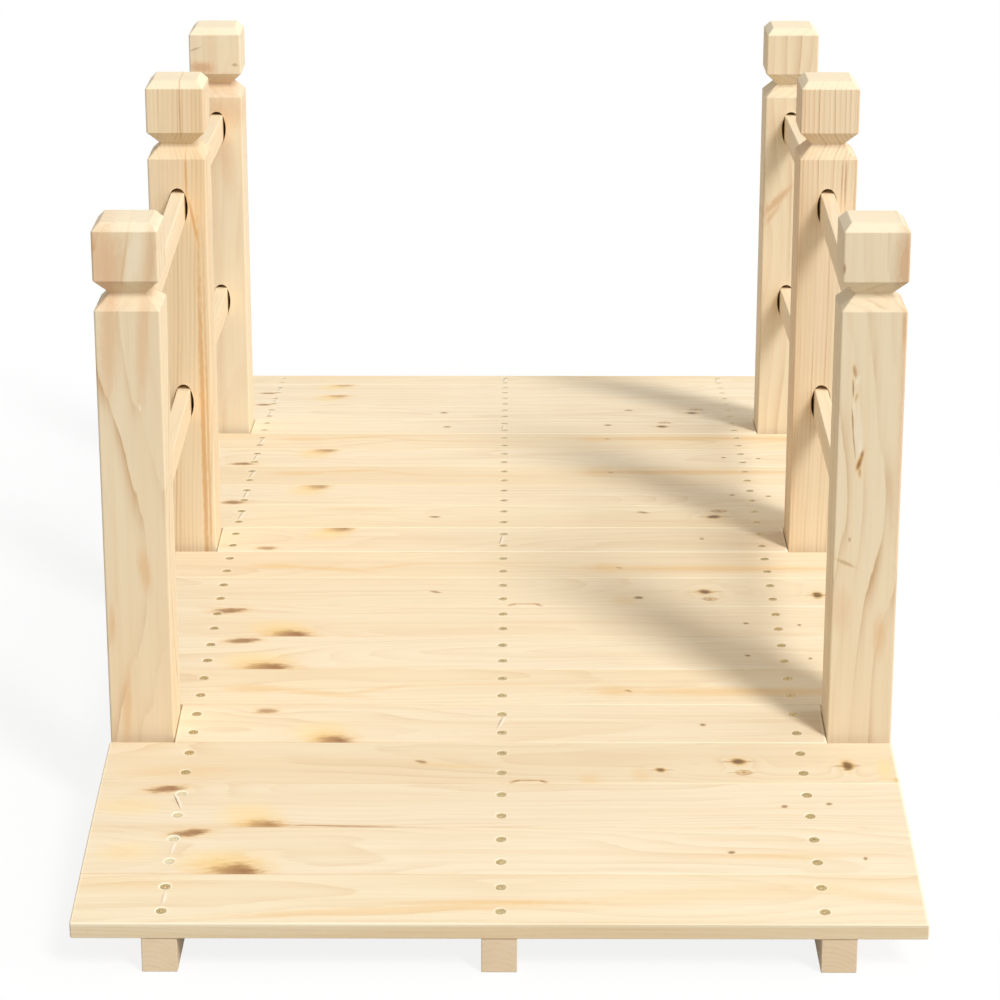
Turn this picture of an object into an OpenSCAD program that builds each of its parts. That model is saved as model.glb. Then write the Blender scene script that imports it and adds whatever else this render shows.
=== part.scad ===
// Arched garden bridge in bare softwood: butted deck planks on three arched
// stringers, with three posts a side that carry two levels of straight rails.
// Millimetres, +Z up. The origin is on the ground at the middle of the bridge,
// +Y runs along the walkway from the near end to the far end, +X is to the right.

/* [Deck] */
// Length of the deck from end to end, measured level
deck_length = 1500; // [1300:10:1800]
// Width of the deck, which is the length of a full plank
deck_width = 670; // [560:5:900]
// Rise of the walking face from the deck's ends to its crown
deck_rise = 54; // [30:1:80]
// Height of the walking face above the ground at the two ends
deck_end_height = 43; // [36:1:60]
// Number of planks, an odd count so that one lies on the crown
plank_count = 21; // [17:2:25]
// Thickness of a plank
plank_thickness = 14; // [12:0.5:18]
// Joint between neighbouring planks at the walking face
plank_gap = 0.6; // [0.5:0.1:5]
// Easing of a plank's two long upper edges
plank_edge_radius = 1.6; // [0.5:0.1:4]

/* [Stringers] */
// Thickness of each arched beam under the deck
stringer_width = 28; // [20:1:40]
// Depth of a stringer at the crown
stringer_crown_depth = 48; // [40:1:60]
// Length of the level foot at each end of a stringer
foot_length = 110; // [60:5:160]
// Distance from the deck's end to the sawn end of a stringer
stringer_setback = 3; // [3:1:20]

/* [Posts] */
// Side of the square posts
post_size = 55; // [45:1:62]
// Height of the end posts' tops above the ground
end_post_top = 530; // [480:5:640]
// How much higher the middle posts' tops stand
middle_post_lift = 30; // [16:1:44]
// Planks from the crown plank to the plank that an end post stands beside
post_plank_step = 6; // [4:1:7]
// Height of the square head above the V groove, with its bevel
head_height = 49; // [30:1:60]
// Bevel around the top of the head
head_bevel = 7; // [3:0.5:12]
// Height of the V groove between head and shaft
neck_height = 25; // [16:1:32]
// Depth of the V groove on each face
neck_depth = 12.5; // [6:0.5:14]
// Easing of the upright edges
post_edge_radius = 2; // [0.5:0.1:4]

/* [Rails] */
// Thickness of a rail across the bridge
rail_thickness = 13; // [10:0.5:15]
// Height of a rail
rail_height = 28; // [22:0.5:30]
// Easing of a rail's long edges
rail_edge_radius = 1; // [0.5:0.1:2]
// Room beside a rail in its oval mortise
mortise_side_room = 3; // [2.5:0.5:5]
// Room above and below a rail in its oval mortise
mortise_end_room = 4.5; // [4:0.5:7]
// Radius of an oval mortise's two ends
mortise_end_radius = 7; // [6.5:0.5:8.5]
// Depth of the blind mortise in an end post
mortise_depth = 30; // [24:1:36]
// Room beyond a rail's end in a blind mortise
blind_end_room = 5; // [2:0.5:8]
// Room between the two rails that meet inside a middle post
meeting_room = 5; // [2:0.5:10]
// Wood above the upper mortise of a middle post, up to its V groove
middle_shoulder = 28; // [18:0.5:38]
// Wood above the upper mortise of an end post, up to its V groove
end_shoulder = 15.5; // [8:0.5:28]
// Height from the lower to the upper mortise in a middle post
middle_rail_spacing = 193.5; // [182:0.5:204]
// Height from the lower to the upper mortise in an end post
end_rail_spacing = 191; // [182:0.5:204]

/* [Fits] */
// Clearance between two seated pieces
seat_clearance = 0.2; // [0.1:0.05:0.5]
// Clearance between a shortened plank and the post beside it
plank_post_clearance = 0.5; // [0.3:0.1:3]

/* [Hidden] */
// Steps in a full turn, fine enough for the wide arcs of the deck
arc_steps = 1440;
// Steps in a full turn of the eased edges and the mortises' round ends
edge_steps = 48;
// Steps in a full turn of the mortises' flatter sides
side_steps = 240;

// Arch of the walking face, seen from the side
deck_radius = (pow(deck_length / 2, 2) + pow(deck_rise, 2)) / (2 * deck_rise);
deck_top = deck_end_height + deck_rise;
arch_center_z = deck_top - deck_radius;
plank_angle = 2 * asin(deck_length / 2 / deck_radius) / plank_count;
plank_width = 2 * deck_radius * tan(plank_angle / 2) - plank_gap;
crown_plank = (plank_count + 1) / 2;

// Arch of the stringers, with the underside springing from the two feet
stringer_radius = deck_radius - plank_thickness - seat_clearance;
stringer_half_length = deck_length / 2 - stringer_setback;
underside_top = arch_center_z + stringer_radius - stringer_crown_depth;
underside_half_span = stringer_half_length - foot_length;
underside_radius = (pow(underside_half_span, 2) + pow(underside_top, 2)) / (2 * underside_top);
underside_center_z = underside_top - underside_radius;

// Places across the bridge
post_inner_x = deck_width / 2 - post_size;
post_center_x = deck_width / 2 - post_size / 2;
outer_stringer_x = post_inner_x - seat_clearance - stringer_width / 2;
short_plank_length = 2 * (post_inner_x - plank_post_clearance);

// Places along the bridge
end_post_y = deck_radius * sin(plank_angle * post_plank_step);

// Oval of a mortise, drawn with four arcs: two round ends run smoothly into two flatter sides
mortise_width = rail_thickness + 2 * mortise_side_room;
mortise_height = rail_height + 2 * mortise_end_room;
oval_end_center = mortise_height / 2 - mortise_end_radius;
oval_bulge = mortise_width / 2 - mortise_end_radius;
oval_side_center = (pow(oval_end_center, 2) - pow(oval_bulge, 2)) / (2 * oval_bulge);
oval_side_radius = oval_side_center + mortise_width / 2;
oval_join = oval_side_radius / (oval_side_radius - mortise_end_radius) * oval_end_center;

// Seat of a rail: its lower eased edges lie in the narrowing lower part of the oval
edge_center_x = rail_thickness / 2 - rail_edge_radius;
end_reach = mortise_end_radius - rail_edge_radius - seat_clearance;
side_reach = oval_side_radius - rail_edge_radius - seat_clearance;
end_arc_reach_x = end_reach * oval_side_center / (oval_side_radius - mortise_end_radius);
edge_low = edge_center_x < end_arc_reach_x
    ? oval_end_center + sqrt(pow(end_reach, 2) - pow(edge_center_x, 2))
    : sqrt(pow(side_reach, 2) - pow(oval_side_center + edge_center_x, 2));
rail_drop = edge_low - (rail_height / 2 - rail_edge_radius);
// Lengths of rail inside a middle post and inside an end post
middle_tenon = (post_size - meeting_room) / 2;
end_tenon = mortise_depth - blind_end_room;
// Level distance between a rail's two seats, from the middle post's mouth to the end tenon's tip
rail_seat_run = end_post_y - post_size + end_tenon;
// How far a cut runs past the face that it opens
cut_overrun = 1;

// Colours of the bare wood
deck_wood = "#f6e0b6";
stringer_wood = "#e6cfa2";
post_wood = "#ecd6ab";
rail_wood = "#e3c897";

// Names of the sides, stations and levels, with the sign of each side and station
sides = [["left", -1], ["right", 1]];
ends = [["near", -1], ["far", 1]];
stations = [["near", -1], ["middle", 0], ["far", 1]];
beams = [["left", -1], ["middle", 0], ["right", 1]];
levels = ["lower", "upper"];

function plank_name(i) = str("deck_plank_", i < 10 ? "0" : "", i);
function stringer_name(beam) = str(beam[0], "_stringer");
function post_name(station, side) = str(station[0], "_", side[0], "_post");
function rail_name(end, side, level) = str(end[0], "_", side[0], "_", level, "_rail");

function post_y(station) = station[1] * end_post_y;
function post_top(station) = end_post_top + (station[1] == 0 ? middle_post_lift : 0);
function shaft_top(station) = post_top(station) - head_height - neck_height;
function shoulder(station) = station[1] == 0 ? middle_shoulder : end_shoulder;
function rail_spacing(station) = station[1] == 0 ? middle_rail_spacing : end_rail_spacing;
// Height of a mortise's middle
function mortise_z(station, level) = shaft_top(station) - shoulder(station) - mortise_height / 2
    - (level == "lower" ? rail_spacing(station) : 0);
// Height of the stringers' underside at a place along the bridge
function underside_z(y) = underside_center_z + sqrt(pow(underside_radius, 2) - pow(y, 2));
function is_short(i) = i == crown_plank || abs(i - crown_plank) == post_plank_step;

// Section of a plank, with its walking face on the x axis and its two upper edges eased
module plank_section() {
    translate([-plank_width / 2, -plank_thickness])
        square([plank_width, plank_thickness - plank_edge_radius]);
    translate([plank_edge_radius - plank_width / 2, -plank_thickness])
        square([plank_width - 2 * plank_edge_radius, plank_thickness]);
    for (edge = [-1, 1])
        translate([edge * (plank_width / 2 - plank_edge_radius), -plank_edge_radius])
            circle(r = plank_edge_radius, $fn = edge_steps);
}

// A rectangle about the origin with all four corners rounded
module eased_rectangle(width, height, radius) {
    square([width - 2 * radius, height], center = true);
    square([width, height - 2 * radius], center = true);
    for (across = [-1, 1], up = [-1, 1])
        translate([across * (width / 2 - radius), up * (height / 2 - radius)])
            circle(r = radius, $fn = edge_steps);
}

// Lays a drawing in the plane across the bridge and extrudes it along +Y from y = 0
module along_bridge(length) {
    translate([0, length, 0]) rotate([90, 0, 0]) linear_extrude(length) children();
}

// Lays a drawing of the bridge's side, with y to the right and z up, and extrudes it across the bridge
module across_bridge(width) {
    rotate([90, 0, 90]) translate([0, 0, -width / 2]) linear_extrude(width) children();
}

// One plank, counted from the near end, level across and tangent to the arch
module deck_plank(i) {
    length = is_short(i) ? short_plank_length : deck_width;
    turn = (crown_plank - i) * plank_angle;
    color(deck_wood)
        translate([0, 0, arch_center_z]) rotate([turn, 0, 0]) translate([0, 0, deck_radius])
            across_bridge(length) plank_section();
}

// Side of a stringer: a band between two arcs, cut off level on the ground at both feet
module stringer_side() {
    difference() {
        intersection() {
            translate([0, arch_center_z]) circle(r = stringer_radius, $fn = arc_steps);
            translate([-stringer_half_length, 0]) square([2 * stringer_half_length, deck_top]);
        }
        translate([0, underside_center_z]) circle(r = underside_radius, $fn = arc_steps);
    }
}

module stringer(beam) {
    color(stringer_wood)
        translate([beam[1] * outer_stringer_x, 0, 0]) across_bridge(stringer_width) stringer_side();
}

// Outline of a post from one face: shaft, V groove and bevelled head
module post_face(bottom, top) {
    half = post_size / 2;
    head_bottom = top - head_height;
    neck_middle = head_bottom - neck_height / 2;
    shaft_top = head_bottom - neck_height;
    right_edge = [
        [half, bottom], [half, shaft_top], [half - neck_depth, neck_middle],
        [half, head_bottom], [half, top - head_bevel], [half - head_bevel, top]
    ];
    left_edge = [for (k = [len(right_edge) - 1 : -1 : 0]) [-right_edge[k][0], right_edge[k][1]]];
    polygon(concat(right_edge, left_edge));
}

// The timber of a post: the same outline cut on all four faces of an eased square bar
module post_bar(bottom, top) {
    intersection() {
        translate([0, -post_size / 2, 0]) along_bridge(post_size) post_face(bottom, top);
        across_bridge(post_size) post_face(bottom, top);
        translate([0, 0, bottom])
            linear_extrude(top - bottom) eased_rectangle(post_size, post_size, post_edge_radius);
    }
}

// Drawing of an oval mortise
module mortise_oval() {
    for (up = [-1, 1])
        translate([0, up * oval_end_center]) circle(r = mortise_end_radius, $fn = edge_steps);
    intersection() {
        oval_side(-1);
        oval_side(1);
        square([2 * mortise_width, 2 * oval_join], center = true);
    }
}

// Full circle of one flatter side of the oval
module oval_side(side) {
    translate([side * oval_side_center, 0]) circle(r = oval_side_radius, $fn = side_steps);
}

// An oval hole along the bridge, starting at the origin
module mortise(depth) {
    along_bridge(depth) mortise_oval();
}

// A post: the mortises go right through a middle post and are blind in an end post
module post(station, side) {
    y = post_y(station);
    depth = station[1] == 0 ? post_size + cut_overrun : mortise_depth;
    start = station[1] == -1 ? post_size / 2 - depth : -post_size / 2 - cut_overrun;
    color(post_wood) translate([side[1] * post_center_x, y, 0]) difference() {
        post_bar(underside_z(y), post_top(station));
        for (level = levels)
            translate([0, start, mortise_z(station, level)]) mortise(depth + cut_overrun);
    }
}

// A straight rail of one bay, seated in the middle post and in an end post
module rail(end, side, level) {
    middle_z = mortise_z(["middle", 0], level) - rail_drop;
    end_z = mortise_z(end, level) - rail_drop;
    slope = atan((middle_z - end_z) / rail_seat_run);
    length = (rail_seat_run + middle_tenon) / cos(slope);
    color(rail_wood)
        mirror([0, end[1] == 1 ? 0 : 1, 0])
            translate([side[1] * post_center_x, post_size / 2, middle_z])
                rotate([-slope, 0, 0]) translate([0, -middle_tenon, 0])
                    along_bridge(length) eased_rectangle(rail_thickness, rail_height, rail_edge_radius);
}

for (i = [1 : plank_count])
    deck_plank(i);
for (beam = beams)
    stringer(beam);
for (station = stations, side = sides)
    post(station, side);
for (end = ends, side = sides, level = levels)
    rail(end, side, level);
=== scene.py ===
# %% [markdown]
# # A small arched garden bridge in bare spruce
#
# The bridge is a plain carpentry job: three arched stringers carry twenty-one
# planks, six posts stand beside the shortened ones, and straight rails slide into
# oval mortises. All of it is planed, untreated spruce, so the lesson is
# about boards: how their edges are eased, how the growth rings run through
# them, where the knots sit, and how the screws are sunk.
#
# The exact model is loaded first as a fixed frame. Every board is then made
# again in its own board frame, with x along the grain, because the wood finish
# needs to know which way the tree grew.

# %% Load the packed bridge
import math

import bmesh
import bpy
from mathutils import Matrix, Vector


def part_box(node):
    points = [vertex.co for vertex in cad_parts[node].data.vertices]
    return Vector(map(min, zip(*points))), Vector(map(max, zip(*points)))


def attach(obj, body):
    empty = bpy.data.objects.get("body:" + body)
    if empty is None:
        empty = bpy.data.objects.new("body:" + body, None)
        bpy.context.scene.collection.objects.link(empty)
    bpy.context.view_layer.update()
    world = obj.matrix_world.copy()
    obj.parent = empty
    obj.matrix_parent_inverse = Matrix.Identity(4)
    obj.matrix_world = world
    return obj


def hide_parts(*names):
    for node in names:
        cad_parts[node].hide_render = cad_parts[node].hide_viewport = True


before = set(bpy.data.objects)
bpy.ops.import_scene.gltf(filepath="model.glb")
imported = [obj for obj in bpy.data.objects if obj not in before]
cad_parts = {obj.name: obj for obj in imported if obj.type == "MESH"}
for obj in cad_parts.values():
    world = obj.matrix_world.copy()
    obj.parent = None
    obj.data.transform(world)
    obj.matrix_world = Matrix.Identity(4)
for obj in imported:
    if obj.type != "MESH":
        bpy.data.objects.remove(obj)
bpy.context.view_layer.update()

print("nodes in the frame:", len(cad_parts))

# %% [markdown]
# ## The camera
#
# The photograph looks along the walkway from the near end, a little above the
# post tops, through a long lens. The upright edges of the posts hardly lean in
# it. A camera tipped down by about nineteen degrees with no lens shift comes
# close to that.

# %% Camera
camera_place = (0.0100, -3.0787, 1.1790)
camera_tip_down = math.radians(18.68)
camera_turn_left = math.radians(0.23)
camera_lens_mm = 118.9
camera_sensor_mm = 36.0

camera_data = bpy.data.cameras.new("camera")
camera_data.lens = camera_lens_mm
camera_data.sensor_width = camera_sensor_mm
camera_data.sensor_fit = "HORIZONTAL"
camera = bpy.data.objects.new("camera", camera_data)
camera.location = camera_place
camera.rotation_euler = (math.pi / 2 - camera_tip_down, 0, camera_turn_left)
bpy.context.scene.collection.objects.link(camera)
bpy.context.scene.camera = camera
print("lens:", camera_lens_mm, "mm, tipped down", round(math.degrees(camera_tip_down), 1))

# %% [markdown]
# ## The deck's arch, read from the frame
#
# The planks lie side by side on a very flat arc, each one turned about X to
# follow it. The crown plank in the middle is level, so its box gives the plank
# thickness and width. Two driving sizes, the deck's length and its rise, give
# the arc's radius.

# %% Deck sizes
deck_length = 1.500
deck_rise = 0.054
plank_count = 21
crown = (plank_count + 1) // 2


def plank_name(number):
    return f"deck_plank_{number:02d}"


crown_low, crown_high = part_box(plank_name(crown))
deck_top = crown_high.z
plank_thickness = crown_high.z - crown_low.z
plank_width = crown_high.y - crown_low.y
arch_radius = (deck_length**2 / 4 + deck_rise**2) / (2 * deck_rise)
arch_center_z = deck_top - arch_radius
plank_angle = 2 * math.asin(deck_length / 2 / arch_radius) / plank_count


def plank_seat(number):
    """Board frame of a plank: x along it, y along the deck, z out of its top face."""
    turn = (crown - number) * plank_angle
    to_center = Matrix.Translation((0, 0, arch_center_z))
    to_rim = Matrix.Translation((0, 0, arch_radius))
    return to_center @ Matrix.Rotation(turn, 4, "X") @ to_rim


print("plank", round(plank_width * 1000, 1), "x", round(plank_thickness * 1000, 1), "mm")
print("arch radius", round(arch_radius, 3), "m")

# %% [markdown]
# ## Making boards
#
# A board is a section carried along a line. The section is a rectangle whose
# corners are rounded, because planed timber has its arrises taken off. At each
# end the section is drawn in by a fraction of a millimetre, so the sawn end
# has an eased edge as well and catches a line of light.
#
# A loft through rings of points makes this directly: quads join one ring to the
# next, and one face closes each end. A bevel modifier could ease the edges too,
# but here each edge has its own radius.

# %% Sections and lofts


def rounded_rectangle(width, height, radii, steps=4):
    """Corner-rounded rectangle about the origin, counterclockwise from the lower left."""
    corners = [(-1, -1, 180), (1, -1, 270), (1, 1, 0), (-1, 1, 90)]
    points = []
    for (side, level, start), radius in zip(corners, radii):
        center_x = side * (width / 2 - radius)
        center_y = level * (height / 2 - radius)
        for step in range(steps + 1):
            angle = math.radians(start + 90 * step / steps)
            points.append((center_x + radius * math.cos(angle), center_y + radius * math.sin(angle)))
    return points


def drawn_in(points, ease):
    """The same section with every side moved in by the easing."""
    wide = max(p[0] for p in points) - min(p[0] for p in points)
    high = max(p[1] for p in points) - min(p[1] for p in points)
    return [(x * (1 - 2 * ease / wide), y * (1 - 2 * ease / high)) for x, y in points]


def circle(radius, height, steps):
    """Ring of points about the z axis."""
    turns = [2 * math.pi * step / steps for step in range(steps)]
    return [Vector((radius * math.cos(turn), radius * math.sin(turn), height)) for turn in turns]


def loft(rings):
    """Closed mesh through rings that have the same number of points."""
    shape = bmesh.new()
    rows = [[shape.verts.new(point) for point in ring] for ring in rings]
    size = len(rings[0])
    for row, following in zip(rows, rows[1:]):
        for i in range(size):
            after = (i + 1) % size
            shape.faces.new((row[i], row[after], following[after], following[i]))
    shape.faces.new(rows[0][::-1])
    shape.faces.new(rows[-1])
    bmesh.ops.recalc_face_normals(shape, faces=shape.faces)
    mesh = bpy.data.meshes.new("loft")
    shape.to_mesh(mesh)
    shape.free()
    return mesh


def straight_board(section, length, ease):
    """Board along x with eased ends; the section gives y and z."""
    small = drawn_in(section, ease)
    stations = [
        (-length / 2, small),
        (-length / 2 + ease, section),
        (length / 2 - ease, section),
        (length / 2, small),
    ]
    return loft([[Vector((x, y, z)) for y, z in ring] for x, ring in stations])


def new_object(name, data):
    piece = bpy.data.objects.new(name, data)
    bpy.context.scene.collection.objects.link(piece)
    return piece


def plain_copy(piece):
    """The object's mesh with its modifiers worked in."""
    graph = bpy.context.evaluated_depsgraph_get()
    return bpy.data.meshes.new_from_object(piece.evaluated_get(graph))


def carve(mesh, cutters):
    """Takes closed cutter meshes out of a closed mesh."""
    piece = new_object("carved", mesh)
    tools = []
    for cutter in cutters:
        tool = new_object("cutter", cutter)
        cut = piece.modifiers.new("cut", "BOOLEAN")
        cut.operation = "DIFFERENCE"
        cut.solver = "EXACT"
        cut.object = tool
        tools.append(tool)
    carved = plain_copy(piece)
    for used in [*tools, piece]:
        bpy.data.objects.remove(used)
    return carved


print("section points:", len(rounded_rectangle(1, 1, (0.1,) * 4)))

# %% [markdown]
# ## Setting boards into the bridge
#
# A board is made in its own frame, as on a bench, and then carried to its place.
# There it is shaded as planed timber, smooth over its eased edges and flat on its
# faces. Splitting the normals by hand could do that, but weighted normals let the
# large faces lead by themselves. The board takes the place of the packed piece of
# the same name, and the difference between their boxes shows if it landed right.

# %% Setting boards
sharp_edge = math.radians(35)


def place_board(name, mesh, seat):
    """Moves a mesh from its board frame into the bridge and shades it as planed timber."""
    mesh.transform(seat)
    mesh.shade_smooth()
    mesh.set_sharp_from_angle(angle=sharp_edge)
    piece = new_object(name, mesh)
    normals = piece.modifiers.new("flat_faces_lead", "WEIGHTED_NORMAL")
    normals.keep_sharp = True
    finished = plain_copy(piece)
    piece.modifiers.clear()
    piece.data = finished
    finished.name = name
    return piece


def box_error(piece, node):
    """Largest difference between a piece's box and its node's box, in millimetres."""
    low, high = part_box(node)
    co = [v.co for v in piece.data.vertices]
    differences = []
    for axis in range(3):
        differences.append(abs(min(p[axis] for p in co) - low[axis]))
        differences.append(abs(max(p[axis] for p in co) - high[axis]))
    return max(differences) * 1000


def dress_board(piece, node, finish):
    """Gives a board its finish and its node's place, and returns its box error."""
    piece.data.materials.clear()
    piece.data.materials.append(finish)
    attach(piece, "root")
    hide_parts(node)
    return box_error(piece, node)


def print_errors(kind, errors):
    print(f"{kind}: {len(errors)} largest difference from the frame {round(max(errors), 3)} mm")


print("boards to set:", len(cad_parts))

# %% [markdown]
# ## Wiring shader nodes from Python
#
# A finish is a graph of nodes. The helper below adds a node, sets its options
# and its inputs, and links an input when it is given another node's socket.
# That keeps each finish readable as a short recipe.

# %% Node helper


class Wiring:
    """Adds nodes to a tree and links their sockets."""

    def __init__(self, tree):
        self.tree = tree

    def put(self, socket, value):
        if isinstance(value, bpy.types.NodeSocket):
            self.tree.links.new(value, socket)
        else:
            socket.default_value = value

    def add(self, kind, inputs=None, **options):
        node = self.tree.nodes.new(kind)
        for name, value in options.items():
            setattr(node, name, value)
        for name, value in (inputs or {}).items():
            self.put(node.inputs[name], value)
        return node

    def math(self, operation, *values):
        inputs = dict(enumerate(values))
        return self.add("ShaderNodeMath", inputs, operation=operation).outputs[0]

    def vector(self, operation, *values):
        inputs = dict(enumerate(values))
        return self.add("ShaderNodeVectorMath", inputs, operation=operation).outputs[0]

    def scaled(self, vector, factor):
        inputs = {0: vector, "Scale": factor}
        return self.add("ShaderNodeVectorMath", inputs, operation="SCALE").outputs[0]

    def noise(self, place, stretch, seed, detail=2.0, output="Fac"):
        """Noise over the stretched place; the seed moves it to another part of the pattern."""
        apart = seed if isinstance(seed, bpy.types.NodeSocket) else (seed, seed, seed)
        stretched = self.vector("MULTIPLY_ADD", place, stretch, apart)
        inputs = {"Vector": stretched, "Scale": 1.0, "Detail": detail}
        return self.add("ShaderNodeTexNoise", inputs, noise_dimensions="3D").outputs[output]

    def ramp(self, value, low, high, to_low=0.0, to_high=1.0):
        inputs = {"Value": value, "From Min": low, "From Max": high, "To Min": to_low, "To Max": to_high}
        return self.add("ShaderNodeMapRange", inputs, interpolation_type="SMOOTHSTEP").outputs[0]

    def blend(self, factor, first, second):
        """Mix of two colours; their sockets share names with other kinds, so they go by number."""
        return self.add("ShaderNodeMix", {0: factor, 6: first, 7: second}, data_type="RGBA").outputs[2]

    def distance(self, side, other_side):
        """Length of the long side of a right angle."""
        squares = self.math("MULTIPLY_ADD", side, side, self.math("MULTIPLY", other_side, other_side))
        return self.math("SQRT", squares)


def new_finish(name):
    """Empty material and the wiring that fills it."""
    material = bpy.data.materials.new(name)
    material.use_nodes = True
    material.node_tree.nodes.clear()
    return material, Wiring(material.node_tree)


def new_group(name, inputs, outputs):
    """Shader node group with float inputs, unless a name asks for a vector or a colour."""
    kinds = {label: "NodeSocketColor" for label in ("Colour", "Core Colour", "Halo Colour")}
    kinds["Board"] = "NodeSocketVector"
    tree = bpy.data.node_groups.new(name, "ShaderNodeTree")
    for way, labels in (("INPUT", inputs), ("OUTPUT", outputs)):
        for label in labels:
            kind = kinds.get(label, "NodeSocketFloat")
            tree.interface.new_socket(label, in_out=way, socket_type=kind)
    wiring = Wiring(tree)
    inner = wiring.add("NodeGroupInput").outputs
    outer = wiring.add("NodeGroupOutput").inputs
    return wiring, inner, outer


print("wiring steps:", [name for name in vars(Wiring) if not name.startswith("_")])

# %% [markdown]
# ## Growth rings
#
# A tree adds one ring a year round its pith. In each ring the pale early wood
# darkens slowly into late wood, and the next year starts pale again with a
# sharp edge. A board is a straight cut through those rings: where the cut runs
# along a ring, wide arches show, and where it crosses them, fine straight lines
# show. So the finish measures the distance from an imagined pith line that runs
# along the board, leans, bows and sways a little, and reads each ring from it.
# The same sum gives matching figure on all faces of a board, end grain too.
# Near a branch the rings swell outwards, which closes them to ovals round a knot.

# %% Ring group
sway_grain = (2.2, 9.0, 9.0)
jitter_grain = (9.0, 130.0, 130.0)
patch_grain = (6.0, 45.0, 45.0)
fibre_grain = (14.0, 900.0, 900.0)
cloud_grain = (1.6, 17.0, 17.0)
streak_grain = (3.0, 140.0, 140.0)
bow_turn = 2 * math.pi / 0.42
jitter_years = 0.45
late_peak = 0.95
late_rise = 2.2
next_spring = 0.93
weakest_year = 0.4

ring_inputs = ["Seed", "Pith Side", "Pith Depth", "Lean Side", "Lean Depth", "Bow", "Bow Place"]
ring_inputs += ["Ring Width", "Sway"]
ring_outputs = ["Late", "Fibre", "Cloud", "Streak"]
w, inner, outer = new_group("growth_rings", ["Board", "Swell", *ring_inputs], ring_outputs)
board = inner["Board"]
seed = inner["Seed"]
sway = w.noise(board, sway_grain, seed, 2.0, "Color")
sway = w.scaled(w.vector("SUBTRACT", sway, (0.5, 0.5, 0.5)), inner["Sway"])
parts = w.add("ShaderNodeSeparateXYZ", {0: w.vector("ADD", board, sway)}).outputs
pith_side = w.math("MULTIPLY_ADD", parts[0], inner["Lean Side"], inner["Pith Side"])
from_bow = w.math("MULTIPLY", w.math("SUBTRACT", parts[0], inner["Bow Place"]), bow_turn)
bow = w.math("MULTIPLY", w.math("SUBTRACT", 1.0, w.math("COSINE", from_bow)), inner["Bow"])
pith_side = w.math("SUBTRACT", pith_side, bow)
pith_depth = w.math("MULTIPLY_ADD", parts[0], inner["Lean Depth"], inner["Pith Depth"])
from_pith = w.distance(w.math("SUBTRACT", parts[1], pith_side), w.math("SUBTRACT", parts[2], pith_depth))
years = w.math("ADD", w.math("DIVIDE", from_pith, inner["Ring Width"]), inner["Swell"])
jitter = w.noise(board, jitter_grain, seed)
years = w.math("MULTIPLY_ADD", w.math("SUBTRACT", jitter, 0.5), jitter_years, years)
season = w.math("FRACT", years)
year_seed = w.math("ADD", w.math("FLOOR", years), seed)
strength = w.add("ShaderNodeTexWhiteNoise", {"W": year_seed}, noise_dimensions="1D").outputs["Value"]
slow = w.math("POWER", w.math("DIVIDE", season, late_peak), late_rise)
late = w.math("MULTIPLY", w.math("MINIMUM", slow, 1.0), w.ramp(season, 1.0, next_spring))
late = w.math("MULTIPLY", late, w.math("MULTIPLY_ADD", strength, 1 - weakest_year, weakest_year))
patchy = w.noise(board, patch_grain, w.math("ADD", seed, 77.0))
w.put(outer["Late"], w.math("MULTIPLY", late, w.ramp(patchy, 0.36, 0.62, 0.40, 1.10)))
w.put(outer["Fibre"], w.noise(board, fibre_grain, seed, 3.0))
w.put(outer["Cloud"], w.noise(board, cloud_grain, w.math("ADD", seed, 31.0)))
w.put(outer["Streak"], w.noise(board, streak_grain, w.math("ADD", seed, 53.0), 4.0))
print("ring group:", len(w.tree.nodes), "nodes")

# %% [markdown]
# ## Knots
#
# A knot is a branch cut across. Small ones are dark spots, larger ones have a
# dark rim and a browner halo where the grain swells round them. The group takes
# the colour so far, paints one knot over it and hands it on, so a board chains
# as many as it has. A knot's place is given along and across its board, and its
# skew makes one end of it darker, as where a branch runs out of the board.

# %% Knot group
knot_rim = (0.30, 0.15, 0.06, 1)
faintest_end = 0.15
darkest_end = 1.15

knot_inputs = ["Colour", "Core Colour", "Halo Colour", "Board", "Ragged", "Along", "Across"]
knot_inputs += ["Half Length", "Half Width", "Turn", "Core", "Rim", "Halo", "Skew"]
w, inner, outer = new_group("knot", knot_inputs, ["Colour", "Dark"])
parts = w.add("ShaderNodeSeparateXYZ", {0: inner["Board"]}).outputs
ahead = w.math("SUBTRACT", parts[0], inner["Along"])
aside = w.math("SUBTRACT", parts[1], inner["Across"])
cosine = w.math("COSINE", inner["Turn"])
sine = w.math("SINE", inner["Turn"])
turned_x = w.math("MULTIPLY_ADD", ahead, cosine, w.math("MULTIPLY", aside, sine))
turned_y = w.math("SUBTRACT", w.math("MULTIPLY", aside, cosine), w.math("MULTIPLY", ahead, sine))
turned_x = w.math("DIVIDE", turned_x, inner["Half Length"])
turned_y = w.math("DIVIDE", turned_y, inner["Half Width"])
reach = w.math("ADD", w.distance(turned_x, turned_y), w.math("SUBTRACT", inner["Ragged"], 0.5))
halo = w.math("MULTIPLY", w.ramp(reach, 1.75, 0.35), inner["Halo"])
core = w.math("MULTIPLY", w.ramp(reach, 1.15, 0.35), inner["Core"])
lopsided = w.math("MULTIPLY_ADD", turned_x, inner["Skew"], 1.0)
lopsided = w.math("MINIMUM", w.math("MAXIMUM", lopsided, faintest_end), darkest_end)
core = w.math("MULTIPLY", core, lopsided)
rim = w.math("MULTIPLY", w.ramp(reach, 0.62, 0.9), w.ramp(reach, 1.3, 1.0))
broken = w.ramp(inner["Ragged"], 0.36, 0.60, 0.2, 1.0)
rim = w.math("MULTIPLY", rim, w.math("MULTIPLY", inner["Rim"], broken))
painted = w.blend(halo, inner["Colour"], inner["Halo Colour"])
painted = w.blend(core, painted, inner["Core Colour"])
w.put(outer["Colour"], w.blend(rim, painted, knot_rim))
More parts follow.
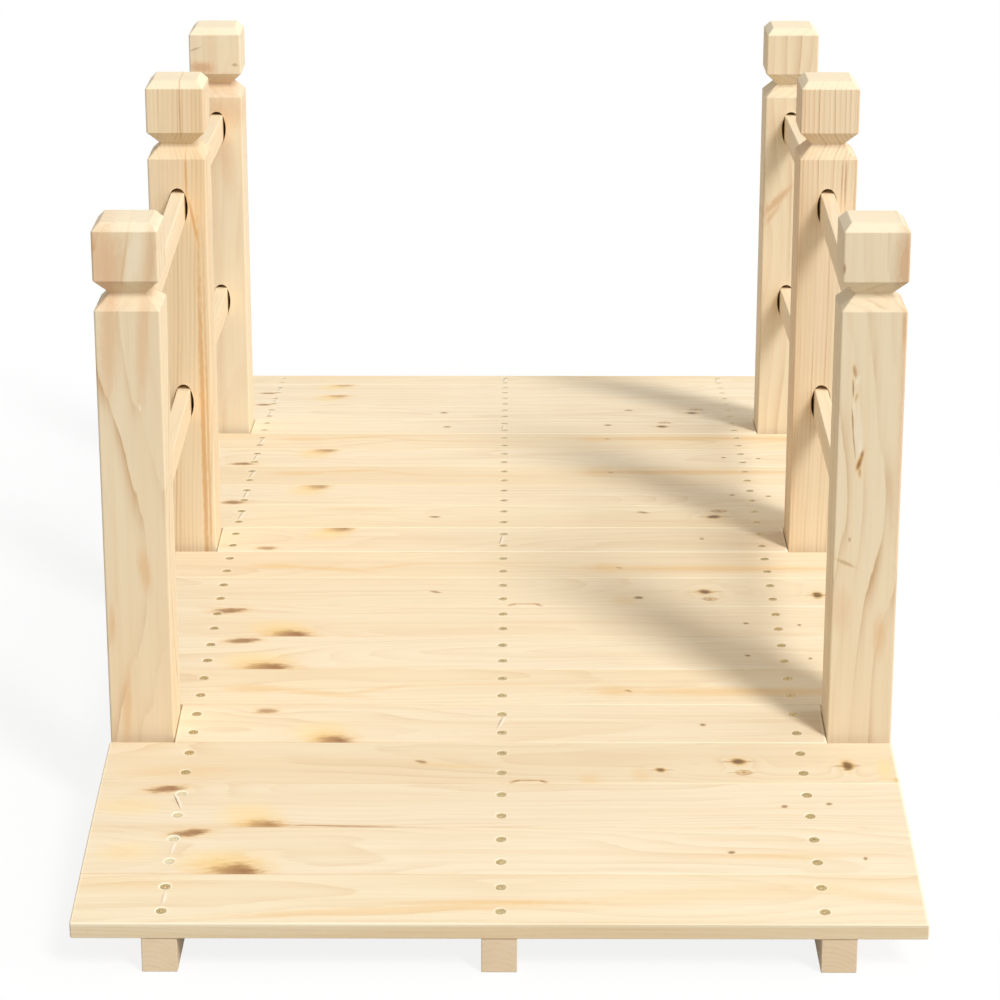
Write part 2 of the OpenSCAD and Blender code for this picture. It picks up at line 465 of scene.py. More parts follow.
w.put(outer["Dark"], w.math("MAXIMUM", core, rim))
print("knot group:", len(w.tree.nodes), "nodes")

# %% [markdown]
# ## Rims round the screws
#
# Every plank is screwed down twice over each of the three stringers. The drill
# breaks the grain round each hole and leaves a ring of pale, torn fibres. The
# ring is painted stronger in the left row and on the first planks, as a painted
# highlight. The group finds the distance to the nearest screw: the pairs lie
# evenly about the plank's middle, so one absolute value and the nearest of
# three columns do it.

# %% Screw rim group
screw_columns = (-0.265, 0.001, 0.255)
screw_pair_spacing = 0.0345
torn_grain = (260.0, 420.0, 420.0)
torn_reach = 0.0030
torn_out = 0.0062
torn_full = 0.0048

w, inner, outer = new_group("screw_rim", ["Board"], ["Rim"])
parts = w.add("ShaderNodeSeparateXYZ", {0: inner["Board"]}).outputs
aside = w.math("SUBTRACT", w.math("ABSOLUTE", parts[1]), screw_pair_spacing / 2)
ahead = 1.0
for column in screw_columns:
    ahead = w.math("MINIMUM", w.math("ABSOLUTE", w.math("SUBTRACT", parts[0], column)), ahead)
torn = w.math("SUBTRACT", w.noise(inner["Board"], torn_grain, 2.0), 0.5)
reach = w.math("MULTIPLY_ADD", torn, torn_reach, w.distance(aside, ahead))
# Painted highlight: the rings of the left row are painted twice as strong.
left_row_painted_highlight = w.ramp(parts[0], -0.10, -0.15, 0.5, 1.0)
w.put(outer["Rim"], w.math("MULTIPLY", w.ramp(reach, torn_out, torn_full), left_row_painted_highlight))
print("screw rim group:", len(w.tree.nodes), "nodes")

# %% [markdown]
# ## Tones of the wood
#
# Fresh spruce is nearly white in its early wood, warmer where sap stood, and tan
# in its late wood. The posts and stringers are a shade deeper than the deck. The
# tones could be mixed from one colour, but real boards differ by kind, so each
# kind has its own three and single boards get a tint on top.

# %% Wood tones
tones = {
    "deck": {"pale": (0.918, 0.782, 0.568), "warm": (0.852, 0.675, 0.443), "late": (0.73, 0.515, 0.285)},
    "post": {"pale": (0.85, 0.715, 0.505), "warm": (0.79, 0.595, 0.37), "late": (0.58, 0.355, 0.175)},
    "rail": {"pale": (0.89, 0.735, 0.51), "warm": (0.83, 0.64, 0.41), "late": (0.72, 0.49, 0.27)},
    "stringer": {"pale": (0.81, 0.655, 0.45), "warm": (0.74, 0.56, 0.365), "late": (0.62, 0.42, 0.235)},
}
streak_shade = (0.80, 0.61, 0.38, 1)
rust_shade = (0.66, 0.36, 0.15, 1)
# Paler sanded wood with a painted highlight, on plank edges and round the screws.
sanded_pale_and_painted_highlight = (0.95, 0.85, 0.64, 1)
end_shade = (0.93, 0.81, 0.585, 1)
# Fibre colour; the same colour is also the painted shade in the seams.
fibre_and_painted_seam_shade = (0.62, 0.42, 0.24, 1)
plain_wood = (1.0, 1.0, 1.0)


def tinted(tone, tint=plain_wood):
    """A set of wood tones multiplied by a tint, as colours."""
    shades = {}
    for label, shade in tone.items():
        shades[label] = (*(part * share for part, share in zip(shade, tint)), 1)
    return shades


print("kinds of board:", list(tones))

# %% [markdown]
# ## Steps of the wood finish
#
# The finish is put together from small steps: finding a point's place in its
# board, lifting the rings over a knot, painting the knots in turn, and marking
# a plank's upper edges for paler sanded wood, painted highlight and painted
# seam shade. A painted mask could mark the edges, but distances from the
# plank's middle stay sharp at any size of picture.

# %% Steps of the wood finish
swell_along = 2.4
swell_across = 2.0
ragged_grain = (110.0, 360.0, 360.0)
seam_turn = (-0.10, 0.20)
# Where along a plank the painted seam shade fades out towards the right.
dim_turn = (-0.16, 0.06)
long_edge_band = (0.0015, 0.0008)
short_edge_band = (0.0030, 0.0016)
upper_band = (-0.0035, -0.0020)


def board_place(w, seat):
    """The bridge's coordinates turned into a board's own."""
    into_board = seat.inverted()
    inputs = {
        "Vector": w.add("ShaderNodeTexCoord").outputs["Object"],
        "Location": into_board.to_translation(),
        "Rotation": into_board.to_euler("XYZ"),
    }
    return w.add("ShaderNodeMapping", inputs).outputs[0]


def swelling(w, axes, spot):
    """Years by which the rings rise over a knot: a smooth bump."""
    ahead = w.math("SUBTRACT", axes[0], spot["Along"])
    ahead = w.math("DIVIDE", ahead, swell_along * spot["Half Length"])
    aside = w.math("SUBTRACT", axes[1], spot["Across"])
    aside = w.math("DIVIDE", aside, swell_across * spot["Half Width"])
    squares = w.math("MULTIPLY_ADD", ahead, ahead, w.math("MULTIPLY", aside, aside))
    bump = w.math("EXPONENT", w.math("MULTIPLY", squares, -1.0))
    return w.math("MULTIPLY", bump, spot["Swell"])


def paint_knots(w, place, knots, seed, colour):
    """The colour with every knot painted over it, and how dark the knots are."""
    dark = 0.0
    if knots:
        ragged = w.noise(place, ragged_grain, seed + 9.0, 3.0)
    for spot in knots:
        inputs = {label: value for label, value in spot.items() if label != "Swell"}
        inputs.update({"Board": place, "Ragged": ragged, "Colour": colour})
        painted = w.add("ShaderNodeGroup", inputs, node_tree=bpy.data.node_groups["knot"]).outputs
        colour = painted["Colour"]
        dark = w.math("MAXIMUM", painted["Dark"], dark)
    return colour, dark


def edge_masks(w, axes, edges):
    """Paler sanded wood with painted highlight, and painted seam shade, from a plank's half sizes and
    strengths.
    """
    far_side = w.math("GREATER_THAN", axes[1], 0.0)
    near_edge = w.ramp(axes[0], *seam_turn, *edges["near"])
    far_edge = w.ramp(axes[0], *seam_turn, *edges["far"])
    long_edge = w.math("MULTIPLY_ADD", far_side, w.math("SUBTRACT", far_edge, near_edge), near_edge)
    out = w.math("ABSOLUTE", axes[1])
    rim = w.ramp(out, *(edges["half width"] - inset for inset in long_edge_band))
    dim = w.math("MULTIPLY", rim, w.ramp(axes[0], *dim_turn, edges["dim"], 0.0))
    rim = w.math("MULTIPLY", rim, long_edge)
    right_end = w.math("GREATER_THAN", axes[0], 0.0)
    short_edge = w.math("MULTIPLY_ADD", right_end, edges["right"] - edges["left"], edges["left"])
    out = w.math("ABSOLUTE", axes[0])
    tip = w.ramp(out, *(edges["half length"] - inset for inset in short_edge_band))
    tip = w.math("MULTIPLY", tip, short_edge)
    upper = w.ramp(axes[2], *upper_band)
    pale = w.math("MULTIPLY", w.math("MAXIMUM", rim, tip), upper)
    return pale, w.math("MULTIPLY", dim, upper)


print("sanded band:", long_edge_band[0] * 1000, "mm")

# %% [markdown]
# ## The wood finish
#
# One recipe serves every board. A Mapping node turns the bridge's coordinates
# into the board's own, so x runs with the grain. Early wood, a warmer cloudy
# tone and late wood are blended in turn, then fibres, then knots. Late wood is
# denser, so it is a little smoother, and fibres lift the surface by a few
# hundredths of a millimetre, which a bump shows well enough.

# %% Wood finish
streak_share = 1.6
rust_wander = 0.012
end_fade = 0.0012
end_strength = 0.7
edge_sanding_and_highlight = 0.95
fibre_lift = 0.00012
fibre_bump = 0.35
sawn_roughness = 0.58
fibre_roughness = 0.12
late_smoothing = -0.12
knot_smoothing = -0.15
wood_sheen = 0.25


def wood_finish(name, seat, tone, figure, knots=(), rust=(), edges=None, rims=0.0, end_from=None):
    """Spruce finish for one board; the seat is its board frame, sizes are metres.

    rust lists (across, half width, strength) of resin-red streaks with the grain,
    edges names the upper edges of a plank, with paler sanded wood, painted highlight
    and painted seam shade, rims is the strength of the pale rings round its screws,
    torn fibres with painted highlight, and end_from is where paler end grain starts
    along a post.
    """
    material, w = new_finish(name)
    place = board_place(w, seat)
    axes = w.add("ShaderNodeSeparateXYZ", {0: place}).outputs
    swell = 0.0
    for spot in knots:
        if spot["Swell"]:
            swell = w.math("ADD", swelling(w, axes, spot), swell)
    inputs = {"Board": place, "Swell": swell}
    inputs.update({label: figure[label] for label in ring_inputs})
    grown = w.add("ShaderNodeGroup", inputs, node_tree=bpy.data.node_groups["growth_rings"]).outputs
    late = w.math("POWER", grown["Late"], figure["Thinning"])
    fibre = grown["Fibre"]
    cloud = w.ramp(grown["Cloud"], 0.40, 0.72)
    colour = w.blend(w.math("MULTIPLY", cloud, figure["Clouding"]), tone["pale"], tone["warm"])
    colour = w.blend(w.math("MULTIPLY", late, figure["Contrast"]), colour, tone["late"])
    streak = w.ramp(grown["Streak"], 0.48, 0.75, 0.0, figure["Fibres"] * streak_share)
    colour = w.blend(streak, colour, streak_shade)
    colour = w.blend(w.ramp(fibre, 0.50, 0.85, 0.0, figure["Fibres"]), colour, fibre_and_painted_seam_shade)
    for across, half_width, amount in rust:
        wander = w.math("MULTIPLY_ADD", w.math("SUBTRACT", grown["Cloud"], 0.5), rust_wander, axes[1])
        offset = w.math("ABSOLUTE", w.math("SUBTRACT", wander, across))
        colour = w.blend(w.ramp(offset, half_width, 0.0, 0.0, amount), colour, rust_shade)
    if end_from:
        end_grain = w.ramp(axes[0], end_from, end_from + end_fade, 0.0, end_strength)
        colour = w.blend(end_grain, colour, end_shade)
    colour, dark = paint_knots(w, place, knots, figure["Seed"], colour)
    if edges:
        # Painted shade in the seams, then paler sanded wood with a painted highlight on the upper edges.
        pale, dim = edge_masks(w, axes, edges)
        colour = w.blend(dim, colour, fibre_and_painted_seam_shade)
        sanded_and_highlight = w.math("MULTIPLY", pale, w.math("SUBTRACT", edge_sanding_and_highlight, streak))
        colour = w.blend(sanded_and_highlight, colour, sanded_pale_and_painted_highlight)
    if rims:
        # Pale rings round the screws: torn fibres, with a painted highlight.
        rim_group = bpy.data.node_groups["screw_rim"]
        rim = w.add("ShaderNodeGroup", {"Board": place}, node_tree=rim_group).outputs["Rim"]
        colour = w.blend(w.math("MULTIPLY", rim, rims), colour, sanded_pale_and_painted_highlight)
    bump = w.add("ShaderNodeBump", {"Height": fibre, "Distance": fibre_lift, "Strength": fibre_bump})
    rough = w.math("MULTIPLY_ADD", fibre, fibre_roughness, sawn_roughness)
    rough = w.math("MULTIPLY_ADD", late, late_smoothing, rough)
    inputs = {
        "Base Color": colour,
        "Roughness": w.math("MULTIPLY_ADD", dark, knot_smoothing, rough),
        "Normal": bump.outputs[0],
        "Specular IOR Level": wood_sheen,
    }
    surface = w.add("ShaderNodeBsdfPrincipled", inputs)
    w.add("ShaderNodeOutputMaterial", {"Surface": surface.outputs[0]})
    return material


print("roughness of sawn wood:", sawn_roughness)

# %% [markdown]
# ## A board's figure
#
# What makes one board unlike the next is where the tree's pith lay, how fast the
# tree grew and how strongly its late wood shows. These values are named once
# here, so that a board is described in a line. Random values would be shorter
# still, but then no board could be steered towards the real one.

# %% Figure of a board


def figure_of(
    seed, pith, lean, ring_width, sway, contrast, clouding=0.5, fibres=0.25, bow=(0, 0), thinning=1.0
):
    """Named values of one board's figure.

    pith and lean are (side, depth), bow is (amount, place), and a thinning over 1 narrows
    the late wood to lines.
    """
    return {
        "Seed": seed,
        "Pith Side": pith[0],
        "Pith Depth": pith[1],
        "Lean Side": lean[0],
        "Lean Depth": lean[1],
        "Bow": bow[0],
        "Bow Place": bow[1],
        "Ring Width": ring_width,
        "Sway": sway,
        "Contrast": contrast,
        "Clouding": clouding,
        "Fibres": fibres,
        "Thinning": thinning,
    }


print("values in a figure:", len(figure_of(0, (0, 0), (0, 0), 1, 0, 0)))

# %% [markdown]
# ## Kinds of mark
#
# A spike is a branch cut along its length. A pin is a twig. A cut knot sits on
# the plank's edge with half of it left, darker at one end, with yellow resin in
# the wood beside it. An eye is a paler knot with a thin dark rim, and a stain is
# a tan cloud with no knot in it. Where a driver slipped there is a scratch, torn
# pale with a dark line beside it. Each kind is a few ovals of the knot group, so
# one group serves them all.

# %% Kinds of mark
brown_core = (0.17, 0.085, 0.035, 1)
spike_core = (0.31, 0.15, 0.065, 1)
grey_core = (0.27, 0.17, 0.09, 1)
orange_core = (0.30, 0.13, 0.045, 1)
torn_core = (0.95, 0.90, 0.78, 1)
tan_glow = (0.80, 0.48, 0.14, 1)
resin_glow = (0.93, 0.68, 0.27, 1)
rosy_glow = (0.70, 0.39, 0.19, 1)


def mark(
    along, across, length, width, core, halo, turn=0, shade=brown_core,
    skew=0, swell=0, glow=tan_glow, rim=0,
):
    """One oval mark, with sizes in millimetres, the turn in degrees and the swelling in years."""
    return {
        "Along": along / 1000,
        "Across": across / 1000,
        "Half Length": length / 2000,
        "Half Width": width / 2000,
        "Turn": math.radians(turn),
        "Core": core,
        "Rim": rim,
        "Halo": halo,
        "Skew": skew,
        "Core Colour": shade,
        "Halo Colour": glow,
        "Swell": swell,
    }


def stain(along, across, length, width, amount=0.35, turn=0, swell=0, glow=tan_glow):
    return [mark(along, across, length, width, 0, amount, turn, swell=swell, glow=glow)]


def spike(along, across, length=36, turn=9, width=13):
    return [mark(along, across, length, width, 0.84, 0.5, turn, spike_core, 0.2, 0.8)]


def pin(along, across, length=6.2, width=5.5, core=0.68, turn=0):
    return [mark(along, across, length, width, core, 0.3, turn, swell=0.3)]


def cut_knot(along, across, length=38, core=0.8, resin=0.44, height=14):
    inward = -1 if across > 0 else 1
    edge = across - 3 * inward
    beside = stain(along - 10, edge + 17 * inward, length * 1.25, 30, resin, 0, 1.3, resin_glow)
    beside += stain(along, edge, length * 1.1, height * 2, 0.5)
    return beside + [mark(along + 2, edge, length, height * 1.7, core, 0.2, 0, orange_core, 0.5)]


def half_ring(along, across):
    """The upper edge of a knot that was sawn away with the next plank."""
    left = mark(along - 12, across - 2, 11, 4, 0.6, 0.3, 25, spike_core)
    right = mark(along + 12, across - 2, 10, 4, 0.7, 0.3, -30, spike_core)
    return [mark(along, across, 26, 2.6, 0.5, 0.4, 0, orange_core, swell=1.0), left, right]


def dark_knot(along, across, length=14, width=12, core=0.92):
    legs = mark(along, across, length * 2.6, width * 0.3, core * 0.5, 0.1, 2, orange_core)
    return [legs, mark(along, across, length, width, core, 0.7, swell=2.2)]


def brown_knot(along, across, length, width):
    return [mark(along, across, length, width, 0.6, 0.4, 0, orange_core, swell=0.9)]


def crack(along, across, length):
    return [mark(along, across, length, 2.2, 0.6, 0.2, -1.6, orange_core, -0.6)]


def eye(along, across, length=12, width=9):
    legs = mark(along, across, length * 2.4, 2.4, 0.35, 0.1, 1, orange_core)
    middle = mark(along, across, length * 0.4, width * 0.45, 0.5, 0)
    ring = mark(along, across, length, width, 0.15, 0.4, 0, orange_core, swell=0.9, rim=0.6)
    return [legs, ring, middle]


def scratch(along, across, length=26, turn=100, torn=0.55, line=0.6):
    pale = mark(along + 1.4, across, length * 0.9, 3.2, torn, 0, turn, torn_core)
    dark = mark(along - 0.6, across, length, 1.5, line, 0, turn, grey_core)
    return [pale, dark]


def resin_wave(level, lift):
    """Tan waves of a board that was sawn close along a ring; lift turns them over."""
    return (
        stain(-218, level - 2 * lift, 46, 13, 0.38)
        + stain(-160, level - 11 * lift, 70, 9, 0.36, -9 * lift)
        + stain(-108, level - 3 * lift, 46, 6, 0.28, 17 * lift)
        + stain(-20, level + 7 * lift, 150, 5, 0.22, 2 * lift)
        + stain(100, level - 4 * lift, 30, 22, 0.26)
        + stain(205, level - 7 * lift, 215, 15, 0.44)
        + pin(113, level - 6 * lift, 8, 4, 0.5, -30)
    )


print("marks in a resin wave:", len(resin_wave(0, 1)))

# %% [markdown]
# ## Where the knots are
#
# The knots are read off the photograph board by board, as distances in
# millimetres from the middle of the plank: along it to the right, and across it
# away from the camera. The boards come from few trees, so the same set of marks
# returns along the deck, turned end for end on its far half. Random places would
# be shorter to write, but the eye knows a board by its knots.

# %% Knots by plank
plank_knots = {
    # The first stain darkens plank 1's front face as painted shade.
    1: stain(0, -37, 900, 3, 0.3)
    + stain(-95, -17, 230, 10, 0.36, 4)
    + stain(-10, -5, 120, 6, 0.42, 1)
    + stain(150, 4, 300, 20, 0.14, 7)
    + stain(-305, 22, 110, 22, 0.2)
    + stain(285, 8, 90, 12, 0.2, -14)
    + scratch(-265, 1, 22, 86, 0.6, 0.3),
    2: spike(-254, 25)
    + cut_knot(-214, -32, 50, height=19)
    + stain(-300, -3, 40, 26, 0.3, glow=resin_glow)
    + stain(225, -9, 90, 9, 0.25)
    + pin(187, -3)
    + pin(294, -12, 4, 5)
    + scratch(-265, 2, 24, 84, 0.6, 0.1),
    3: spike(-279, 25, 36)
    + cut_knot(-196, -31, 34, 0.62, height=11)
    + crack(-130, -34.5, 170)
    + stain(-305, -4, 50, 24, 0.3, glow=resin_glow)
    + pin(235, -2)
    + pin(272, 2)
    + scratch(-267, 4, 28, 107, 0.5, 0.8),
    4: pin(-67, 1, 13, 6, 0.6, -20)
    + stain(-40, -6, 60, 5, 0.3, -6)
    + half_ring(24, -31)
    + stain(75, -30, 16, 20, 0.25)
    + stain(118, -20, 14, 22, 0.25)
    + dark_knot(135, -13, 10, 8, 0.85)
    + dark_knot(201, 2)
    + eye(205, -17)
    + dark_knot(293, -5, 11, 19)
    + stain(-270, -18, 80, 20, 0.25)
    + cut_knot(334, -27, 10, height=4),
    5: brown_knot(-205, 22, 22, 11)
    + cut_knot(-145, -31, 34)
    + pin(175, -3)
    + scratch(0, 2, 28, 76),
    6: resin_wave(-3, 1),
    7: spike(-237, 25) + cut_knot(-212, -31, 46) + pin(223, -6) + pin(279, -12, 4),
    8: spike(-255, 23, 38) + cut_knot(-196, -31, 40) + pin(226, -5) + pin(275, -9, 4),
    9: pin(-63, -1, 13, 5, 0.55, -25)
    + half_ring(22, -31)
    + pin(129, -15, 10, 8, 0.75)
    + dark_knot(192, 0)
    + eye(196, -18)
    + dark_knot(298, -8, 10, 18)
    + stain(115, -24, 20, 16, 0.25),
    10: resin_wave(-3, 1),
    11: brown_knot(-230, -27, 22, 12)
    + cut_knot(-163, 30, 26, 0.6)
    + pin(197, 3, 5, 8, 0.45)
    + scratch(-1, 0, 32, 84),
    12: pin(-68, -2, 13, 7)
    + pin(142, 13, 14, 7, 0.65, -20)
    + dark_knot(213, -1, 15, 12)
    + eye(219, 18, 14, 9)
    + stain(-150, 24, 60, 10, 0.25)
    + scratch(-264, 2, 30, 82),
    13: spike(-276, -27, 26, 0)
    + cut_knot(-194, 28, 24, 0.5)
    + pin(236, 1)
    + pin(273, -3)
    + scratch(-265, 0, 26, 84),
    14: resin_wave(6, -1) + scratch(-264, 3, 30, 82),
    15: spike(-277, -27, 27, 0)
    + cut_knot(-194, 28, 25, 0.5)
    + pin(236, 1)
    + pin(273, -3)
    + scratch(-265, 2, 26, 84),
    16: resin_wave(6, -1) + scratch(-264, 0, 30, 82),
    17: pin(-63, -3, 10, 9)
    + pin(116, 7, 9, 10, 0.7)
    + dark_knot(176, 0, 13, 12)
    + eye(180, 20, 13, 9)
    + scratch(-1, -6, 26, 84),
    18: pin(-68, 0, 10, 10)
    + pin(142, 15, 11, 8)
    + dark_knot(213, 0, 14, 13)
    + eye(219, 20, 14, 9)
    + scratch(-265, -6, 26, 84),
    19: spike(-276, -26, 20, 0) + cut_knot(-195, 27, 24, 0.45) + scratch(-264, 0, 26, 80),
    20: spike(-276, -26, 22, 0) + cut_knot(-192, 29, 24, 0.45) + scratch(-264, 2, 30, 80),
    21: stain(-200, 18, 180, 20, 0.2)
    + stain(150, 20, 240, 20, 0.25)
    + scratch(0, 0, 30, 82)
    + scratch(254, 0, 30, 82),
}
print("knots in the deck:", sum(len(spots) for spots in plank_knots.values()))

# %% [markdown]
# ## Deck planks
#
# Each plank is screwed down twice over every stringer, so three pairs of screws
# cross it. The screws pull their heads below the surface and leave a shallow
# cup, which is carved out of the plank here. The planks' upper edges are
# rounded and sanded, and painted paler there: partly paler sanded wood, partly
# a painted highlight, which draws a bright line between some of the planks,
# brighter towards the right. On the near planks the seams get painted shade
# towards the left. How bright each seam is, and how dark each kind of board,
# is listed.

# %% Plank sizes and tints
top_edge_radius = 0.0011
low_edge_radius = 0.0008
end_ease = 0.0010
rim_radius = 0.0050
rim_drop = 0.0005
cup_radius = 0.0042
cup_depth = 0.0011
cup_steps = 20
cutter_over = 0.0006
# Painted highlight with paler sanded wood along each seam, and the share of it at the seam's left end.
seam_shine = [0.8, 0.35, 0.1, 0.6, 0.6, 0.6, 0.4, 0.15, 0.8, 0.6, 0.8, 1.0]
seam_shine += [0.35, 0.05, 0.5, 0.1, 0.7, 0.8, 0.2, 0.1, 0.2, 0.0]
seam_left = [1.0] + [0.0] * 8 + [0.5] * 13
# Painted shade in the seams of the second to ninth planks, towards their left ends.
seam_dim = 0.18
last_dim_plank = 9
# Painted highlight: rings round the screws of the planks up to this one are full strength, the rest
# half.
last_painted_highlight_rim_plank = 3
painted_light_each_plank = 0.0045
tan_wood = (0.985, 0.96, 0.915)
honey_wood = (1.0, 0.99, 0.96)
plank_tints = {1: (1.01, 1.015, 1.0), 3: (0.975, 0.97, 0.97), 4: (0.94, 0.925, 0.895)}
plank_tints.update({9: (0.97, 0.96, 0.935), 12: (0.99, 0.985, 0.95)})
plank_tints.update({6: honey_wood, 10: tan_wood, 14: tan_wood, 16: tan_wood, 21: honey_wood})
screw_spots = [Vector((x, row * screw_pair_spacing / 2, 0)) for x in screw_columns for row in (-1, 1)]


def screw_cups():
    """One cutter for the cups of a plank's screws, in its own frame."""
    levels = [(cutter_over, rim_radius), (0, rim_radius)]
    levels += [(-rim_drop, cup_radius), (-cup_depth, cup_radius)]
    shape = bmesh.new()
    for spot in screw_spots:
        rings = [[spot + point for point in circle(radius, z, cup_steps)] for z, radius in levels]
        shape.from_mesh(loft(rings))
    cups = bpy.data.meshes.new("screw_cups")
    shape.to_mesh(cups)
    shape.free()
    return cups


def plank_figure(number):
    """Figure of a plank; remainders and waves spread the pith's place from board to board."""
    side = -0.03 + 0.06 * ((number * 7) % 11) / 10
    depth = -0.05 - 0.01 * ((number * 5) % 7)
    lean = (0.05 * math.sin(number * 2.1), 0.03 * math.cos(number * 1.7))
    return figure_of(number * 3.7, (side, depth), lean, 0.0040, 0.045, 0.45, 0.5, 0.28)


def seam_ends(seam):
    """How strong a seam's painted highlight with paler sanded wood is at the left and at the right."""
    return (seam_shine[seam] * seam_left[seam], seam_shine[seam])


def plank_edges(number, length):
    """Half sizes of a plank, and how its upper edges get paler sanded wood, painted highlight and
    painted seam shade.
    """
    return {
        "half width": plank_width / 2,
        "half length": length / 2,
        "near": seam_ends(number - 1),
        "far": seam_ends(number),
        "dim": seam_dim if 1 < number <= last_dim_plank else 0.0,
        # The plank's ends get painted highlight with paler sanded wood, weaker at the left end.
        "left": 0.45,
        "right": 0.9,
    }


print("screws in a plank:", len(screw_spots))

# %% [markdown]
# The planks are cut to the lengths of the packed ones and laid along the arc one
# by one. A Geometry Nodes tree could lay them, but each is a piece of its own
# with its own knots, so a loop is the plainer way. The tints grow a little paler
# from plank to plank towards the far end, as they look in the photograph: this is
# painted light, which evens out the brightness along the arch.

# %% Build the planks
screw_places = []
errors = []
for number in range(1, plank_count + 1):
    node = plank_name(number)
    seat = plank_seat(number)
    low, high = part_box(node)
    length = high.x - low.x
    radii = (low_edge_radius, low_edge_radius, top_edge_radius, top_edge_radius)
    section = rounded_rectangle(plank_width, plank_thickness, radii)
    plank = straight_board(section, length, end_ease)
    plank.transform(Matrix.Translation((0, 0, -plank_thickness / 2)))
    piece = place_board(node + "_board", carve(plank, [screw_cups()]), seat)
    screw_places += [(seat @ spot, (crown - number) * plank_angle) for spot in screw_spots]
    # Painted light: each plank is painted a little paler than the one before it.
    lift = 1 + painted_light_each_plank * (number - crown)
    tint = [part * lift for part in plank_tints.get(number, plain_wood)]
    finish = wood_finish(
        "wood_" + node,
        seat,
        tinted(tones["deck"], tint),
        plank_figure(number),
        plank_knots[number],
        edges=plank_edges(number, length),
        rims=1.0 if number <= last_painted_highlight_rim_plank else 0.5,
    )
    errors.append(dress_board(piece, node, finish))
print_errors("planks", errors)

# %% [markdown]
# ## Screws
#
# The screws are all alike: a flat head with a cross recess, yellow-plated. One
# head is lofted from two circles, and the recess is cut by two crossed bars.
# The shank is hidden in the wood, so it is left out.

# %% Screw head
head_radius = 0.0040
head_steps = 16
head_sink = 0.0005
recess_reach = 0.0019
recess_half = 0.0004
recess_depth = 0.0006
recess_over = 0.0004


def screw_head():
    """Head with its top at z = 0 and a cross recess, standing in the cup."""
    blank = loft([circle(head_radius, z, head_steps) for z in (head_sink - cup_depth, 0)])
    bars = []
    for long_x, long_y in ((recess_reach, recess_half), (recess_half, recess_reach)):
        section = rounded_rectangle(2 * long_x, 2 * long_y, (recess_half / 3,) * 4, 1)
        levels = (recess_over, -recess_depth)
        bars.append(loft([[Vector((x, y, z)) for x, y in section] for z in levels]))
    return carve(blank, bars)


head_mesh = screw_head()
head_object = new_object("screw_head", head_mesh)
print("faces in one head:", len(head_mesh.polygons))

# %% [markdown]
# Yellow plating dulls unevenly: some heads are browner. A few heads at the near
# left are painted pale as a painted highlight. Slow noise over the whole deck
# lets the tone drift from head to head, and the distance from one point marks
# the heads with the painted highlight, so the heads need no colours of their own.

# %% Screw finish
# Painted highlight on a few screw heads at the near left.
painted_screw_highlight_at = (-0.265, -0.607, 0.062)
painted_screw_highlight_out = 0.085
painted_screw_highlight_full = 0.065
plate_tone = (0.64, 0.525, 0.285, 1)
dull_tone = (0.50, 0.39, 0.20, 1)
brown_tone = (0.67, 0.49, 0.24, 1)
painted_screw_highlight_tone = (0.88, 0.84, 0.66, 1)
dent_depth = 0.00008

plating_with_painted_highlight, w = new_finish("yellow_plating_with_painted_highlight")
place = w.add("ShaderNodeTexCoord").outputs["Object"]
tarnish = w.noise(place, (260.0, 260.0, 260.0), 4.0, 3.0)
drift = w.noise(place, (9.0, 9.0, 9.0), 8.0, 1.0)
plated = w.blend(w.ramp(tarnish, 0.40, 0.66), plate_tone, dull_tone)
plated = w.blend(w.ramp(drift, 0.45, 0.65, 0.0, 0.5), plated, brown_tone)
from_painted_screw_highlight = w.add("ShaderNodeVectorMath", {0: place, 1: painted_screw_highlight_at}, operation="DISTANCE")
painted_screw_highlight = w.ramp(from_painted_screw_highlight.outputs["Value"], painted_screw_highlight_out, painted_screw_highlight_full, 0.0, 0.75)
dents = w.add("ShaderNodeBump", {"Height": tarnish, "Distance": dent_depth, "Strength": 0.4})
inputs = {
    "Base Color": w.blend(painted_screw_highlight, plated, painted_screw_highlight_tone),
    "Metallic": 1.0,
    "Roughness": w.ramp(tarnish, 0.35, 0.7, 0.38, 0.6),
    "Normal": dents.outputs[0],
}
surface = w.add("ShaderNodeBsdfPrincipled", inputs)
w.add("ShaderNodeOutputMaterial", {"Surface": surface.outputs[0]})
print("plating:", len(plating_with_painted_highlight.node_tree.nodes), "nodes")

# %% [markdown]
# A Geometry Nodes tree sets one head on every marked point, tilts it with its
# plank and gives it a turn of its own, as a driver leaves it. Copies in a loop
# would do the same, but the tree keeps the rule apart from the places.

# %% Screw rows tree
tree = bpy.data.node_groups.new("screw_rows", "GeometryNodeTree")
face = tree.interface
face.new_socket("Points", in_out="INPUT", socket_type="NodeSocketGeometry")
screw_socket = face.new_socket("Screw", in_out="INPUT", socket_type="NodeSocketObject")
seed_socket = face.new_socket("Turn Seed", in_out="INPUT", socket_type="NodeSocketInt")
finish_socket = face.new_socket("Finish", in_out="INPUT", socket_type="NodeSocketMaterial")
face.new_socket("Screws", in_out="OUTPUT", socket_type="NodeSocketGeometry")
w = Wiring(tree)
given = w.add("NodeGroupInput").outputs
tilt = w.add("GeometryNodeInputNamedAttribute", {"Name": "tilt"}, data_type="FLOAT").outputs["Attribute"]
tilted = w.add("ShaderNodeCombineXYZ", {"X": tilt}).outputs[0]
spin = w.add("FunctionNodeRandomValue", {"Seed": given["Turn Seed"]}, data_type="FLOAT")
spin.inputs[2].default_value = 0.0
spin.inputs[3].default_value = math.pi / 2
spun = w.add("ShaderNodeCombineXYZ", {"Z": spin.outputs[1]}).outputs[0]
rotation = w.add(
    "FunctionNodeRotateRotation",
    {
        "Rotation": w.add("FunctionNodeEulerToRotation", {0: tilted}).outputs[0],
        "Rotate By": w.add("FunctionNodeEulerToRotation", {0: spun}).outputs[0],
    },
    rotation_space="LOCAL",
)
